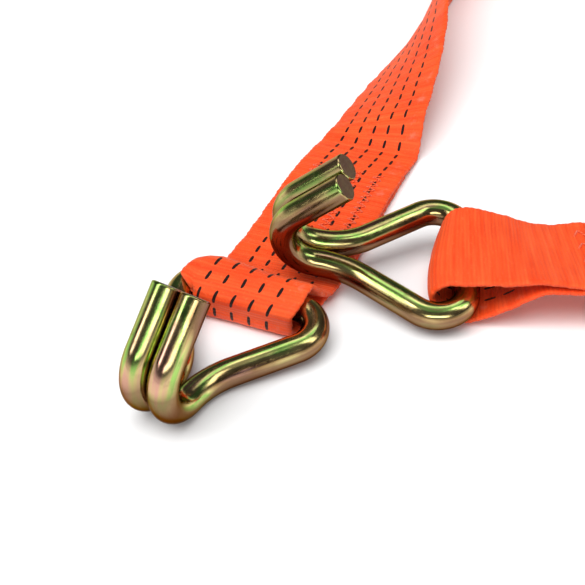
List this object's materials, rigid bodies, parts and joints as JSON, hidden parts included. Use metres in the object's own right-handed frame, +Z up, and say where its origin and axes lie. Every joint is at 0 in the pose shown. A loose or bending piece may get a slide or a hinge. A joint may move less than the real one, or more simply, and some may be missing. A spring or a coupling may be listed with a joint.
{
  "type": "ratchet tie down",
  "caption": "Two-part ratchet lashing for 50 mm webbing, laid out unthreaded: wire claw hooks, sewn straps, a roll of webbing and a ratchet buckle with its handle closed.",
  "frame": {"origin": "middle of the footprint, on the surface that the lashing lies on", "axes": "+Z up; +Y from the front hook along the long strap to its roll; +X from the rear hook along the short strap to the ratchet buckle"},
  "size_m": [0.4594, 0.531, 0.0685],
  "materials": {
    "yellow_zinc": "yellow chromate zinc, glossy, iridescent green and pink",
    "bright_zinc": "bright zinc, satin",
    "spring_steel": "bare spring steel",
    "orange_webbing": "woven polyester webbing with black tracer dashes on one face",
    "orange_thread": "bonded polyester thread",
    "black_elastic": "matt woven elastic",
    "black_grip": "moulded plastic, fine grain"
  },
  "bodies": {
    "long_strap": {"long_strap_eye": "orange_webbing", "long_strap_run": "orange_webbing", "long_strap_stitching": "orange_thread", "long_strap_roll": "orange_webbing", "roll_tie": "black_elastic"},
    "front_hook": {"front_hook": "yellow_zinc"},
    "short_strap": {"short_strap_hook_eye": "orange_webbing", "short_strap_run": "orange_webbing", "short_strap_stitching": "orange_thread", "short_strap_bolt_eye": "orange_webbing"},
    "rear_hook": {"rear_hook": "yellow_zinc"},
    "ratchet_frame": {"ratchet_frame": "yellow_zinc", "end_bolt": "bright_zinc", "end_bolt_nut": "bright_zinc", "end_bolt_sleeve": "bright_zinc", "lock_spring_plate": "yellow_zinc", "lock_pawl_spring_left": "spring_steel", "lock_pawl_spring_right": "spring_steel"},
    "lock_pawl": {"lock_pawl": "yellow_zinc"},
    "spool": {"half_shaft_upper": "bright_zinc", "half_shaft_lower": "bright_zinc", "ratchet_wheel_left": "bright_zinc", "ratchet_wheel_right": "bright_zinc", "spool_washer_left": "bright_zinc", "spool_washer_right": "bright_zinc", "cotter_pin_left": "spring_steel", "cotter_pin_right": "spring_steel"},
    "handle": {"handle_body": "yellow_zinc", "grip_rod": "bright_zinc", "grip_sleeve": "black_grip", "drive_spring_bar": "bright_zinc", "drive_pawl_spring_left": "spring_steel", "drive_pawl_spring_right": "spring_steel"},
    "drive_pawl": {"drive_pawl": "yellow_zinc"}
  },
  "joints": [
    {"name": "front_hook_swing", "type": "hinge", "parent": "long_strap", "child": "front_hook", "pos_m": [-0.18284, -0.19255, 0.011], "axis": [-0.8676, 0.4953, 0.0434], "range_deg": [0, 100]},
    {"name": "rear_part_lift", "type": "slide", "parent": "long_strap", "child": "short_strap", "axis": [0, 0, 1], "range_m": [0, 0.12]},
    {"name": "rear_hook_swing", "type": "hinge", "parent": "short_strap", "child": "rear_hook", "pos_m": [-0.10134, -0.17715, 0.0138], "axis": [0.0927, 0.9804, 0.1736], "range_deg": [0, 110]},
    {"name": "buckle_swing", "type": "hinge", "parent": "short_strap", "child": "ratchet_frame", "pos_m": [0.09916, -0.18255, 0.0145], "axis": [0, -1, 0], "range_deg": [0, 15]},
    {"name": "handle_turn", "type": "hinge", "parent": "ratchet_frame", "child": "handle", "pos_m": [0.20416, -0.18255, 0.0255], "axis": [0, 1, 0], "range_deg": [0, 165]},
    {"name": "spool_turn", "type": "hinge", "parent": "ratchet_frame", "child": "spool", "pos_m": [0.20416, -0.18255, 0.0255], "axis": [0, 1, 0], "continuous": true},
    {"name": "lock_pawl_slide", "type": "slide", "parent": "ratchet_frame", "child": "lock_pawl", "axis": [-0.9659, 0, -0.2588], "range_m": [0, 0.006], "stiffness_N_per_m": 600, "springref_m": -0.006, "deforming": ["lock_pawl_spring_left", "lock_pawl_spring_right"]},
    {"name": "drive_pawl_slide", "type": "slide", "parent": "handle", "child": "drive_pawl", "axis": [-0.9397, 0, 0.342], "range_m": [0, 0.006], "stiffness_N_per_m": 600, "springref_m": -0.006, "deforming": ["drive_pawl_spring_left", "drive_pawl_spring_right"]}
  ]
}
